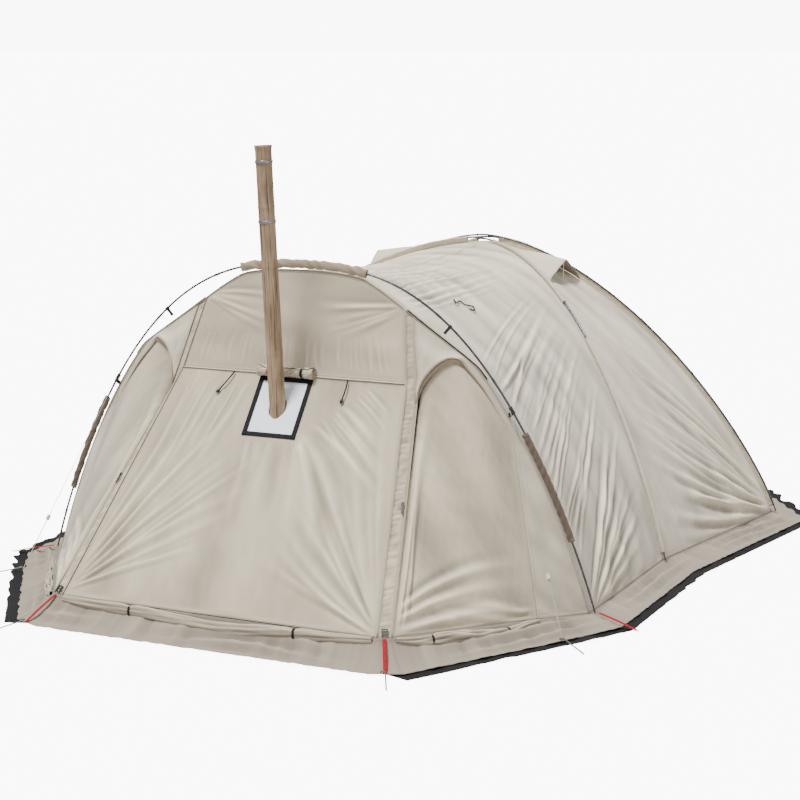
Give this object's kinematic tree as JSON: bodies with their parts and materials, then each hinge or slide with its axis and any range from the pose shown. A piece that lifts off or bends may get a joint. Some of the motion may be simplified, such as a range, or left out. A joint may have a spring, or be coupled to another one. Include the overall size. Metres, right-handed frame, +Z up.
{
  "type": "hot tent",
  "caption": "Beige hot tent with a hoop-pole stove vestibule, a leaning chimney through its front panel, and a domed sleeping area of crossing poles.",
  "frame": {"origin": "on the ground below the crossing of the dome poles", "axes": "+Z up, -Y towards the stove vestibule, +X to the right seen from the front"},
  "size_m": [4.0886, 4.8592, 2.242],
  "materials": {
    "fly_cloth": "matte",
    "roof_cloth": "matte",
    "sleeve_cloth": "matte",
    "sheet_cloth": "matte",
    "glass_cloth": "matte",
    "black_webbing": "matte",
    "red_webbing": "matte",
    "pole_metal": "satin",
    "pipe_metal": "satin",
    "steel": "satin",
    "stove_metal": "matte",
    "line_cord": "matte",
    "pale_plastic": "matte"
  },
  "bodies": {
    "door_left": {"side_door_left": "fly_cloth"},
    "zip_left": {"zip_slider_left": "black_webbing"},
    "guy_slider_body_left": {"guy_slider_left": "pale_plastic"},
    "strut_left": {"vent_strut_left": "black_webbing"},
    "door_right": {"side_door_right": "fly_cloth"},
    "zip_right": {"zip_slider_right": "black_webbing"},
    "guy_slider_body_right": {"guy_slider_right": "pale_plastic"},
    "strut_right": {"vent_strut_right": "black_webbing"},
    "pipe": {"stove_pipe": "pipe_metal", "pipe_clamp_upper": "steel", "pipe_clamp_lower": "steel"},
    "damper": {"pipe_damper": "steel"},
    "stove_door_body": {"stove_door": "stove_metal"},
    "tent": {"groundsheet": "sheet_cloth", "hoop_pole": "pole_metal", "dome_pole_lower": "pole_metal", "dome_pole_middle": "pole_metal", "side_pole_upper": "pole_metal", "hoop_top_sleeve": "roof_cloth", "hoop_sleeve_left": "sleeve_cloth", "hoop_sleeve_right": "sleeve_cloth", "front_panel": "fly_cloth", "front_gable": "fly_cloth", "corner_strip_left": "fly_cloth", "corner_strip_right": "fly_cloth", "door_surround_left": "roof_cloth", "door_surround_right": "roof_cloth", "mid_panel_left": "roof_cloth", "mid_panel_right": "roof_cloth", "dome_front_side_left": "roof_cloth", "dome_rear_side_left": "roof_cloth", "dome_front_side_right": "roof_cloth", "dome_rear_side_right": "roof_cloth", "dome_back_panel": "roof_cloth", "crown_patch": "roof_cloth", "vent_hood_left": "roof_cloth", "vent_hood_right": "roof_cloth", "skirt_front": "fly_cloth", "skirt_right": "fly_cloth", "skirt_back": "fly_cloth", "skirt_left": "fly_cloth", "jack_binding": "black_webbing", "jack_sheet": "glass_cloth", "jack_flap_roll": "glass_cloth", "stove_body": "stove_metal", "corner_buckle_left": "black_webbing", "corner_strap_left": "red_webbing", "corner_peg_left": "steel", "corner_buckle_right": "black_webbing", "corner_strap_right": "red_webbing", "corner_peg_right": "steel", "hoop_foot_strap_left": "black_webbing", "hoop_foot_strap_right": "black_webbing", "hoop_clip_left": "black_webbing", "hoop_clip_right": "black_webbing", "guy_line_left": "line_cord", "guy_peg_left": "steel", "guy_line_right": "line_cord", "guy_peg_right": "steel"}
  },
  "joints": [
    {"name": "side_door_hinge_left", "type": "hinge", "parent": "tent", "child": "door_left", "pos_m": [-1.33003, -2.62701, 0.06996], "axis": [-0.2584, -0.2823, -0.9239], "range_deg": [0, 65]},
    {"name": "zip_slide_left", "type": "slide", "parent": "tent", "child": "zip_left", "axis": [0.181, 0.6377, 0.7487], "range_m": [-0.6, 0.48]},
    {"name": "guy_slider_slide_left", "type": "slide", "parent": "tent", "child": "guy_slider_body_left", "axis": [0.3532, 0.2956, 0.8876], "range_m": [-0.12, 0.15]},
    {"name": "vent_strut_hinge_left", "type": "hinge", "parent": "tent", "child": "strut_left", "pos_m": [-0.57829, -0.22284, 1.35884], "axis": [0.3596, -0.9331, 0], "range_deg": [0, 110]},
    {"name": "side_door_hinge_right", "type": "hinge", "parent": "tent", "child": "door_right", "pos_m": [1.33003, -2.62701, 0.06996], "axis": [-0.2584, 0.2823, 0.9239], "range_deg": [0, 65]},
    {"name": "zip_slide_right", "type": "slide", "parent": "tent", "child": "zip_right", "axis": [-0.181, 0.6377, 0.7487], "range_m": [-0.6, 0.48]},
    {"name": "guy_slider_slide_right", "type": "slide", "parent": "tent", "child": "guy_slider_body_right", "axis": [-0.3532, 0.2956, 0.8876], "range_m": [-0.12, 0.15]},
    {"name": "vent_strut_hinge_right", "type": "hinge", "parent": "tent", "child": "strut_right", "pos_m": [0.57829, -0.22284, 1.35884], "axis": [0.3596, 0.9331, 0], "range_deg": [0, 110]},
    {"name": "pipe_lift", "type": "slide", "parent": "tent", "child": "pipe", "axis": [-0.0496, 0, 0.9988], "range_m": [0, 0.25]},
    {"name": "damper_turn", "type": "hinge", "parent": "pipe", "child": "damper", "pos_m": [-0.00237, -2.64707, 0.62], "axis": [0, 1, 0], "range_deg": [0, 90]},
    {"name": "stove_door_hinge", "type": "hinge", "parent": "tent", "child": "stove_door_body", "pos_m": [-0.09345, -2.32257, 0.28], "axis": [0, 0, 1], "range_deg": [0, 110]}
  ]
}
